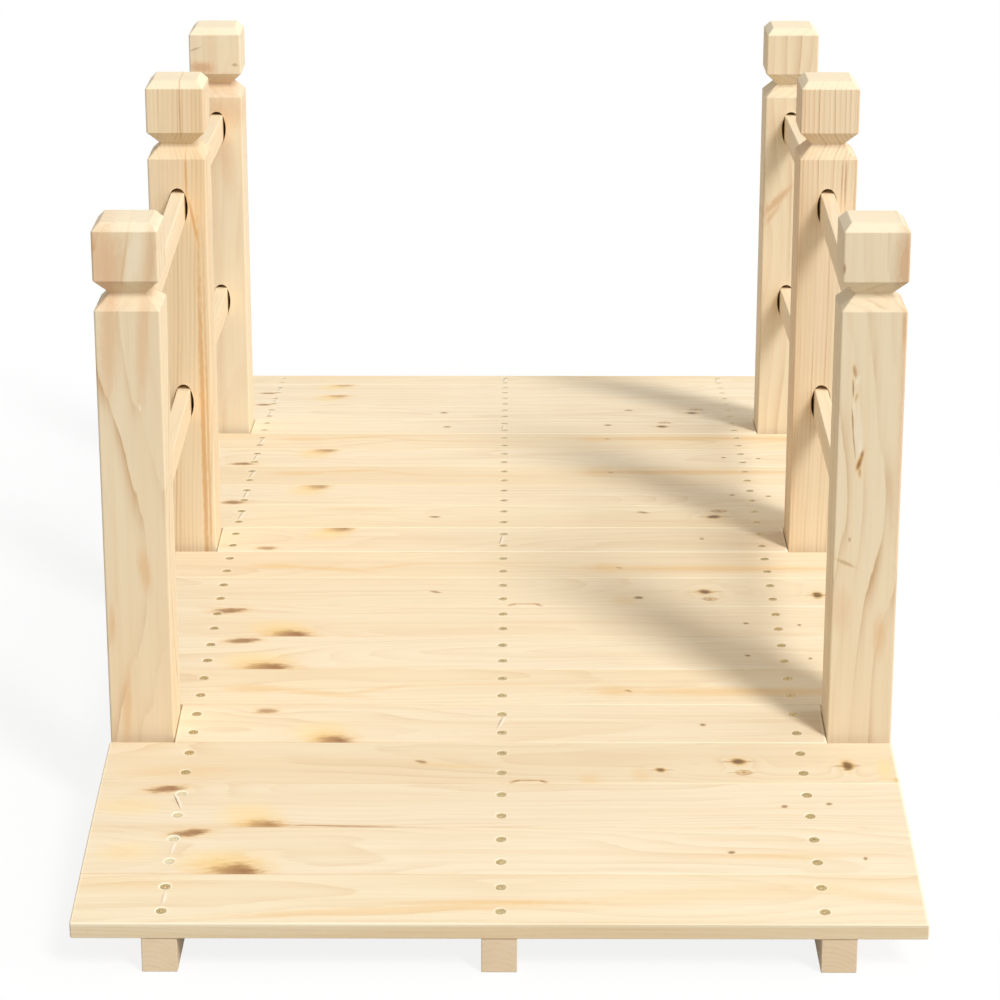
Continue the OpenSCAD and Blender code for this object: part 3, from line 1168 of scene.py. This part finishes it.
source = w.add("GeometryNodeObjectInfo", {"Object": given["Screw"], "As Instance": True})
rows = w.add(
    "GeometryNodeInstanceOnPoints",
    {
        "Points": given["Points"],
        "Instance": source.outputs["Geometry"],
        "Rotation": rotation.outputs[0],
    },
)
real = w.add("GeometryNodeRealizeInstances", {"Geometry": rows.outputs[0]})
dressed = w.add("GeometryNodeSetMaterial", {"Geometry": real.outputs[0], "Material": given["Finish"]})
w.add("NodeGroupOutput", {"Screws": dressed.outputs[0]})
print("screw rows tree:", len(tree.nodes), "nodes")

# %% [markdown]
# The points lie a little below the planks' faces, because a driven screw pulls
# its head into the wood. Once the tree has run, its result is kept as a plain
# mesh and the head it copied is thrown away.

# %% Set the screws
turn_seed = 5
points = bpy.data.meshes.new("screw_points")
sunk = []
for place, turn in screw_places:
    normal = Matrix.Rotation(turn, 3, "X") @ Vector((0, 0, 1))
    sunk.append(place - normal * head_sink)
points.from_pydata(sunk, [], [])
tilts = points.attributes.new("tilt", "FLOAT", "POINT")
tilts.data.foreach_set("value", [turn for _, turn in screw_places])
screws = new_object("deck_screws", points)
rows_modifier = screws.modifiers.new("screw_rows", "NODES")
rows_modifier.node_group = tree
rows_modifier[screw_socket.identifier] = head_object
rows_modifier[seed_socket.identifier] = turn_seed
rows_modifier[finish_socket.identifier] = plating_with_painted_highlight
screw_mesh = plain_copy(screws)
screws.modifiers.clear()
screws.data = screw_mesh
bpy.data.objects.remove(head_object)
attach(screws, "root")
print("screws:", len(screw_places), "faces:", len(screw_mesh.polygons))

# %% [markdown]
# ## Posts
#
# A post is a square length of timber. A V groove is sawn right round it under
# the head, and the top edges of the head are bevelled. The rails' mortises
# are ovals a little taller and wider than the lath, so its corners touch and a
# dark crescent stays above and beside it; on the middle posts they run right
# through, on the end posts they are blind and open towards the middle.
# Each post's place and height come from its box in the frame. A loft through
# square rings makes the groove and the bevels in one go, and ovals cut from it
# make the mortises.

# %% Post sizes
post_size = 0.055
post_edge_radius = 0.002
neck_edge_radius = 0.0005
post_arris = 0.0007
head_height = 0.049
head_bevel = 0.007
neck_height = 0.025
neck_depth = 0.0125
mortise_half_width = 0.0095
mortise_half_height = 0.0185
mortise_end_radius = 0.007
mortise_depth = 0.030
cutter_clear = 0.002
end_grain_over = 0.0005
middle_levels = (0.4395, 0.246)
end_levels = (0.422, 0.231)


def post_seat(node):
    """Board frame of a post: x up the post, y to the right, z away from the near end."""
    low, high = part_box(node)
    middle = (low + high) / 2
    axes = Matrix(((0, 1, 0), (0, 0, 1), (1, 0, 0))).to_4x4()
    return Matrix.Translation((middle.x, middle.y, 0)) @ axes


def post_ring(height, inset):
    """Ring of the post at a height, drawn in by an inset, in the board frame."""
    radius = max(post_edge_radius - inset * 0.25, neck_edge_radius)
    section = rounded_rectangle(post_size - 2 * inset, post_size - 2 * inset, (radius,) * 4)
    return [Vector((height, y, z)) for y, z in section]


def post_blank(low, top):
    head_low = top - head_height
    shaft_top = head_low - neck_height
    levels = [
        (low, post_arris),
        (low + post_arris, 0),
        (shaft_top - post_arris, 0),
        (shaft_top + post_arris * 0.5, post_arris * 0.9),
        (shaft_top + neck_height / 2 - post_arris * 0.4, neck_depth - post_arris * 0.4),
        (shaft_top + neck_height / 2 + post_arris * 0.4, neck_depth - post_arris * 0.4),
        (head_low - post_arris * 0.5, post_arris * 0.9),
        (head_low + post_arris, 0),
        (top - head_bevel - post_arris, 0),
        (top - head_bevel + post_arris * 0.5, post_arris * 0.7),
        (top - post_arris * 0.7, head_bevel - post_arris),
        (top, head_bevel + post_arris * 0.3),
    ]
    return loft([post_ring(height, inset) for height, inset in levels])


def mortise(level, start, end, steps=9):
    """Oval cutter along the post's z: two round ends and two flatter sides, in the board frame."""
    end_center = mortise_half_height - mortise_end_radius
    bulge = mortise_half_width - mortise_end_radius
    side_center = (end_center**2 - bulge**2) / (2 * bulge)
    side_radius = side_center + mortise_half_width
    join_angle = math.atan2(end_center, side_center)
    arcs = [
        (end_center, 0, mortise_end_radius, -math.pi / 2 + join_angle, math.pi / 2 - join_angle),
        (0, -side_center, side_radius, math.pi / 2 - join_angle, math.pi / 2 + join_angle),
        (-end_center, 0, mortise_end_radius, math.pi / 2 + join_angle, 1.5 * math.pi - join_angle),
        (0, side_center, side_radius, 1.5 * math.pi - join_angle, 1.5 * math.pi + join_angle),
    ]
    outline = []
    for center_along, center_across, radius, first, last in arcs:
        for step in range(steps):
            angle = first + (last - first) * step / steps
            along = level + center_along + radius * math.cos(angle)
            outline.append((along, center_across + radius * math.sin(angle)))
    return loft([[Vector((along, across, z)) for along, across in outline] for z in (start, end)])


def post_mortises(node):
    half = post_size / 2
    if node.startswith("middle"):
        return [mortise(level, -half - cutter_clear, half + cutter_clear) for level in middle_levels]
    if node.startswith("near"):
        return [mortise(level, half - mortise_depth, half + cutter_clear) for level in end_levels]
    return [mortise(level, -half - cutter_clear, -half + mortise_depth) for level in end_levels]


print("mortise:", mortise_half_width * 2000, "x", mortise_half_height * 2000, "mm")

# %% [markdown]
# ## How the posts were sawn
#
# The near posts are cut along the rings, so broad wavy bands with thin dark lines
# climb their front faces. The middle ones are cut across the rings and show fine
# straight lines. The far ones show faint, wide rings. A picture of wood would
# repeat from post to post, but here the pith's place in each board sets all this.

# %% Post figures and tints
left_bow = (0.0205, 0.229)
right_bow = (0.012, 0.300)
thin_lines = 1.9
post_figures = {
    "near_left_post": figure_of(
        11.0, (-0.1055, 0.15), (0, 0), 0.0142, 0.02, 1.0, 0.5, 0.22, left_bow, thin_lines
    ),
    "near_right_post": figure_of(
        17.0, (0.1035, 0.15), (0, 0), 0.0075, 0.025, 1.0, 0.55, 0.22, right_bow, thin_lines
    ),
    "middle_left_post": figure_of(
        23.0, (0.11, 0.02), (0.015, 0.01), 0.0036, 0.03, 0.85, 0.85, 0.32, thinning=1.4
    ),
    "middle_right_post": figure_of(
        29.0, (-0.12, 0.03), (0.012, 0.01), 0.0036, 0.03, 1.0, 0.8, 0.32, thinning=1.3
    ),
    "far_left_post": figure_of(31.0, (0.05, 0.09), (0.02, 0.01), 0.0060, 0.04, 0.35, 0.3, 0.20),
    "far_right_post": figure_of(37.0, (-0.06, 0.08), (0.02, 0.01), 0.0060, 0.04, 0.55, 0.3, 0.20),
}
post_tints = {
    "near_left_post": (0.99, 0.985, 0.97),
    "near_right_post": (0.98, 0.98, 0.97),
    "middle_left_post": (1.025, 1.01, 0.98),
    "middle_right_post": (1.02, 0.995, 0.975),
    "far_left_post": (1.0, 1.01, 1.02),
    "far_right_post": (0.985, 0.985, 0.975),
}
print("posts to saw:", len(post_figures))

# %% [markdown]
# ## Marks on the posts
#
# The near right post has a long pocket of bark with resin in it, and heartwood on
# the right of its head. The near left one has a pale band of sapwood on its head.
# Rust-red streaks climb the middle left post, and rosy stains lie on the far ones.
# They are placed much as on the planks: the height above the ground, then the
# distance to the right of the post's middle. Painting them on an image would tie
# them to one size of picture.

# %% Post marks
bark_core = (0.86, 0.79, 0.65, 1)
pocket_glow = (0.74, 0.45, 0.21, 1)
sapwood_core = (0.88, 0.77, 0.57, 1)
heartwood_core = (0.60, 0.37, 0.20, 1)
line_core = (0.48, 0.25, 0.10, 1)
bark_pocket = [
    mark(352, -10, 62, 11, 0.42, 0.1, -4, bark_core),
    mark(405, -14.5, 13, 4, 0.5, 0.3, -10, orange_core),
    mark(398, -11.5, 11, 5, 0.35, 0.1, 8, torn_core),
    mark(390, -15.5, 18, 1.6, 0.75, 0.2, -3, spike_core),
    mark(383, -12.5, 11, 3, 0.3, 0.2, 12, orange_core),
    mark(374, -14, 22, 3, 0.35, 0.1, -4, torn_core),
    mark(362, -15, 26, 1.6, 0.75, 0.1, -5, spike_core),
    mark(345, -13.5, 30, 1.5, 0.6, 0.1, -7, spike_core),
    mark(340, -8, 18, 5, 0.3, 0.1, 6, torn_core),
    mark(331, -6.5, 15, 3.2, 0.75, 0.4, 14, orange_core),
    mark(324, -8.5, 12, 4.5, 0.85, 0.5, 16, orange_core),
    mark(317, -7.5, 9, 3, 0.4, 0.4, 0, orange_core),
]
post_knots = {
    "near_right_post": stain(171, 14, 34, 9, 0.5, glow=pocket_glow)
    + stain(194, -20, 34, 14, 0.25, glow=rosy_glow)
    + stain(400, 30, 330, 11, 0.45, glow=rosy_glow)
    + bark_pocket
    + [
        mark(495, 26, 74, 25, 0.72, 0, 0, heartwood_core, rim=0.12),
        mark(492, -25.9, 11, 2.2, 0.65, 0.1, 0, spike_core),
        mark(441, 25, 26, 3.6, 0.45, 0.3, 0, heartwood_core, glow=rosy_glow),
        mark(258, -14, 5, 3, 0.45, 0.1, 0, grey_core),
        mark(237, -17, 4, 20, 0.35, 0.2, 25, grey_core),
    ],
    "near_left_post": stain(230, 7, 32, 9, 0.55, -6, glow=pocket_glow)
    + stain(105, -12, 62, 6, 0.5, 3, glow=pocket_glow)
    + stain(180, -22, 28, 5, 0.45, glow=pocket_glow)
    + stain(498, -18, 56, 26, 0.55, glow=rosy_glow)
    + stain(432, -16, 90, 13, 0.42, 3, glow=rosy_glow)
    + stain(430, 12, 90, 9, 0.36, 3, glow=rosy_glow)
    + [
        mark(373, 8, 8, 3, 0.4, 0.1, 0, torn_core),
        mark(502, 6.5, 76, 13, 0.62, 0, 9, sapwood_core),
        mark(502, 0, 62, 2.4, 0.3, 0.1, 9, heartwood_core),
        mark(500, 21, 66, 9, 0.3, 0.2, 2, heartwood_core, glow=rosy_glow),
    ],
    "middle_left_post": [
        mark(533, 4.7, 70, 2.0, 0.6, 0.2, 0, line_core),
        mark(470, 8.5, 54, 2.6, 0.8, 0.3, 0, rust_shade),
        mark(428, 14, 46, 3.0, 0.8, 0.3, -10, rust_shade),
        mark(200, 18, 460, 5.5, 0.7, 0.3, 0, rust_shade),
        mark(200, 22.5, 460, 2.6, 0.5, 0.2, 0, rust_shade),
    ],
    "middle_right_post": [
        mark(466, 16.5, 52, 2.0, 0.6, 0.3, 0, line_core, glow=rosy_glow),
        mark(466, 13, 44, 1.6, 0.4, 0.2, 0, line_core, glow=rosy_glow),
    ],
    "far_left_post": stain(470, 10, 22, 30, 0.4, glow=rosy_glow)
    + stain(440, 12, 30, 32, 0.4, glow=rosy_glow)
    + stain(405, 6, 80, 16, 0.35, -8, glow=rosy_glow)
    + [
        mark(488, -15, 12, 26, 0.5, 0.5, 0, heartwood_core, glow=rosy_glow),
        mark(508, -21, 3, 13, 0.4, 0.1, -20, grey_core),
        mark(491, 21, 4, 7, 0.4, 0.2, 0, grey_core),
    ],
    "far_right_post": [
        mark(344, -12, 44, 8, 0.45, 0.4, 43, heartwood_core, glow=rosy_glow),
        mark(328, -17, 26, 5, 0.3, 0.3, 35, heartwood_core, glow=rosy_glow),
    ],
}
post_rust = {
    "middle_right_post": [(0.0250, 0.0020, 0.5), (-0.0230, 0.0010, 0.3)],
    "far_left_post": [(-0.0040, 0.0080, 0.18)],
}
print("marks on the posts:", sum(len(spots) for spots in post_knots.values()))

# %% [markdown]
# Each post is cut from its blank and stood where the packed one stands. The top
# of its head is end grain, which is paler, so the finish is told where the bevel
# starts. A second material could do that, but the height says it already.

# %% Build the posts
errors = []
for node, figure in post_figures.items():
    seat = post_seat(node)
    low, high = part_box(node)
    blank = post_blank(low.z, high.z)
    piece = place_board(node + "_board", carve(blank, post_mortises(node)), seat)
    finish = wood_finish(
        "wood_" + node,
        seat,
        tinted(tones["post"], post_tints[node]),
        figure,
        post_knots[node],
        post_rust.get(node, []),
        end_from=high.z - head_bevel - end_grain_over,
    )
    errors.append(dress_board(piece, node, finish))
print_errors("posts", errors)

# %% [markdown]
# ## Rails
#
# The rails are laths that run from inside the middle post's mortise down into
# the blind mortise of an end post, so each slopes a little. Their ends are
# hidden, and the mortises stay larger than the laths, which leaves the dark
# gaps round them. A lath's slope and length both follow from its box in the
# frame, and a few rounds of the same sum bring them together.

# %% Rail sizes
rail_thickness = 0.013
rail_height = 0.028
rail_edge_radius = 0.001
rail_end_ease = 0.0006
slope_rounds = 4


def rail_lie(low, high, away):
    """Board frame and length of a rail that fills its box and falls towards its end post."""
    span_y = high.y - low.y
    span_z = high.z - low.z
    slope = math.atan2(span_z - rail_height, span_y)
    for _ in range(slope_rounds):
        room_z = rail_height * math.cos(slope)
        length = (span_y - rail_height * math.sin(slope)) / math.cos(slope)
        slope = math.atan2(span_z - room_z, length * math.cos(slope))
    along = Vector((0, math.cos(slope), -away * math.sin(slope)))
    across = Vector((-1, 0, 0))
    axes = Matrix((along, across, along.cross(across))).transposed().to_4x4()
    return Matrix.Translation((low + high) / 2) @ axes, length


rail_names = []
for end in ("near", "far"):
    for side in ("left", "right"):
        rail_names += [f"{end}_{side}_{level}_rail" for level in ("lower", "upper")]
print("rails to cut:", len(rail_names))

# %% [markdown]
# All laths are sawn from the same plain stock, so they share one figure, and only
# the seed of their fibres and rings differs. One lath copied eight times would be
# less work, but its lines would repeat side by side.

# %% Build the rails
rail_seed = 41.0
rail_seed_step = 3.1
errors = []
for node in rail_names:
    low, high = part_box(node)
    seat, length = rail_lie(low, high, -1 if node.startswith("near") else 1)
    section = rounded_rectangle(rail_thickness, rail_height, (rail_edge_radius,) * 4)
    piece = place_board(node + "_board", straight_board(section, length, rail_end_ease), seat)
    rail_seed += rail_seed_step
    figure = figure_of(rail_seed, (0.03, -0.06), (0.01, 0.01), 0.0038, 0.02, 0.35, 0.4, 0.25)
    finish = wood_finish("wood_" + node, seat, tinted(tones["rail"]), figure)
    errors.append(dress_board(piece, node, finish))
print_errors("rails", errors)

# %% [markdown]
# ## Stringers
#
# Each stringer is sawn from a straight board along a curve, so its grain runs
# straight while its edges arch. A loft could follow the arch as well, but the
# packed stringer already has the true outline. So the mesh is a copy of it, with
# its doubles merged, its flat faces made whole and its edges eased by a narrow
# bevel.

# %% Build the stringers
stringer_ease = 0.0008
weld_distance = 0.00002
flat_angle = math.radians(0.05)
corner_angle = math.radians(30)


def eased_stringer(node):
    """Copy of the packed stringer with eased edges."""
    shape = bmesh.new()
    shape.from_mesh(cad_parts[node].data)
    bmesh.ops.remove_doubles(shape, verts=shape.verts, dist=weld_distance)
    bmesh.ops.dissolve_limit(shape, angle_limit=flat_angle, verts=shape.verts, edges=shape.edges)
    sharp = [edge for edge in shape.edges if edge.calc_face_angle(0) > corner_angle]
    bevel = {"offset": stringer_ease, "segments": 2, "profile": 0.5, "clamp_overlap": True}
    bmesh.ops.bevel(shape, geom=sharp, affect="EDGES", **bevel)
    mesh = bpy.data.meshes.new(node)
    shape.to_mesh(mesh)
    shape.free()
    return mesh


errors = []
stringer_seed = 61.0
stringer_seed_step = 5
for index, node in enumerate(("left_stringer", "middle_stringer", "right_stringer")):
    low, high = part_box(node)
    axes = Matrix(((0, -1, 0), (1, 0, 0), (0, 0, 1))).to_4x4()
    seat = Matrix.Translation((low + high) / 2) @ axes
    piece = place_board(node + "_board", eased_stringer(node), Matrix.Identity(4))
    seed = stringer_seed + stringer_seed_step * index
    figure = figure_of(seed, (0.01, -0.05), (0.01, 0.01), 0.0045, 0.05, 0.40, 0.4, 0.25)
    finish = wood_finish("wood_" + node, seat, tinted(tones["stringer"]), figure)
    errors.append(dress_board(piece, node, finish))
print_errors("stringers", errors)

# %% [markdown]
# ## Floor
#
# The bridge stands on a pale floor, as on a roll of studio paper. The floor looks
# white to the camera but keeps part of its shading, so the contact shadow stays.
# A brighter lamp would whiten it too, but it would also wash out the wood. To all
# other rays the floor is a middle grey, which keeps the light from below low.

# %% Floor
floor_half = 30.0
floor_drop = 0.0003
paper_tone = (0.45, 0.435, 0.41, 1)
paper_fleck = (0.47, 0.455, 0.43, 1)
paper_shown = (0.97, 0.97, 0.97, 1)
pure_white = (1, 1, 1, 1)
floor_glow = 0.86


def seen_by_camera(w):
    """1 for camera rays and for reflected or clear ones, 0 for rays that only light."""
    rays = w.add("ShaderNodeLightPath").outputs
    seen = w.math("MAXIMUM", rays["Is Camera Ray"], rays["Is Glossy Ray"])
    return w.math("MAXIMUM", seen, rays["Is Transmission Ray"])


floor_mesh = bpy.data.meshes.new("floor")
floor_corners = [(-1, -1), (1, -1), (1, 1), (-1, 1)]
floor_points = [(x * floor_half, y * floor_half, -floor_drop) for x, y in floor_corners]
floor_mesh.from_pydata(floor_points, [], [(0, 1, 2, 3)])
floor = new_object("floor", floor_mesh)
floor_finish, w = new_finish("studio_floor")
seen = seen_by_camera(w)
paper = w.noise(w.add("ShaderNodeTexCoord").outputs["Object"], (3.0, 3.0, 3.0), 1.0)
paper = w.blend(paper, paper_tone, paper_fleck)
matt = w.add("ShaderNodeBsdfDiffuse", {"Color": w.blend(seen, paper, paper_shown)})
white = w.add("ShaderNodeEmission", {"Color": pure_white, "Strength": 1.0})
shares = {0: w.math("MULTIPLY", seen, floor_glow), 1: matt.outputs[0], 2: white.outputs[0]}
floor_mix = w.add("ShaderNodeMixShader", shares)
w.add("ShaderNodeOutputMaterial", {"Surface": floor_mix.outputs[0]})
floor.data.materials.append(floor_finish)
print("floor:", 2 * floor_half, "m wide")

# %% [markdown]
# ## Light
#
# The studio light is plain. A tall, narrow soft box at the front right, high up,
# throws the posts' shadows to the left across the deck: their sides stay fairly
# firm, their tips and the rails' shadows melt away. One wide sun would soften all
# edges alike, so three suns one above the other make such a light. A wide soft
# panel on the right lifts the faces turned to it, and a white room fills the rest.

# %% Key lamps
key_right_of_axis = math.radians(35.5)
key_heights = (39.5, 47, 54.5)
key_energy = 2.31
key_width = math.radians(12)
for height in key_heights:
    key = bpy.data.lights.new("key", "SUN")
    key.energy = key_energy / len(key_heights)
    key.angle = key_width
    key_object = new_object("key", key)
    rise = math.radians(height)
    level = math.cos(rise)
    key_from = Vector(
        (math.sin(key_right_of_axis) * level, -math.cos(key_right_of_axis) * level, math.sin(rise))
    )
    key_object.rotation_euler = key_from.to_track_quat("Z", "Y").to_euler()
    print("key from", [round(v, 2) for v in key_from])

# %% [markdown]
# The panel stands four metres to the right and is tilted a little down towards
# the bridge. The room is white where the camera sees it, straight or mirrored, and
# a soft, slightly warm fill for everything else. A plain white world would be
# simpler, but it would light the wood twice as much and drown the shadows.

# %% Side panel and room
panel_place = (4.0, 0.0, 1.6)
panel_from = Vector((4.0, 0.0, 1.3))
panel_width = 5.0
panel_height = 2.5
panel_energy = 74.0
room_tone = (1.0, 0.985, 0.965, 1)
room_fill = 0.445

panel = bpy.data.lights.new("side_panel", "AREA")
panel.shape = "RECTANGLE"
panel.size = panel_width
panel.size_y = panel_height
panel.energy = panel_energy
panel_object = new_object("side_panel", panel)
panel_object.location = panel_place
panel_object.rotation_euler = panel_from.to_track_quat("Z", "Y").to_euler()

room = bpy.data.worlds.new("studio")
bpy.context.scene.world = room
room.use_nodes = True
room.node_tree.nodes.clear()
w = Wiring(room.node_tree)
ambient = w.add("ShaderNodeBackground", {"Color": room_tone, "Strength": room_fill})
backdrop = w.add("ShaderNodeBackground", {"Color": pure_white, "Strength": 1.0})
shares = {0: seen_by_camera(w), 1: ambient.outputs[0], 2: backdrop.outputs[0]}
room_mix = w.add("ShaderNodeMixShader", shares)
w.add("ShaderNodeOutputWorld", {"Surface": room_mix.outputs[0]})

bpy.context.scene.view_settings.view_transform = "Standard"
print("lamps:", len(bpy.data.lights))

# %% [markdown]
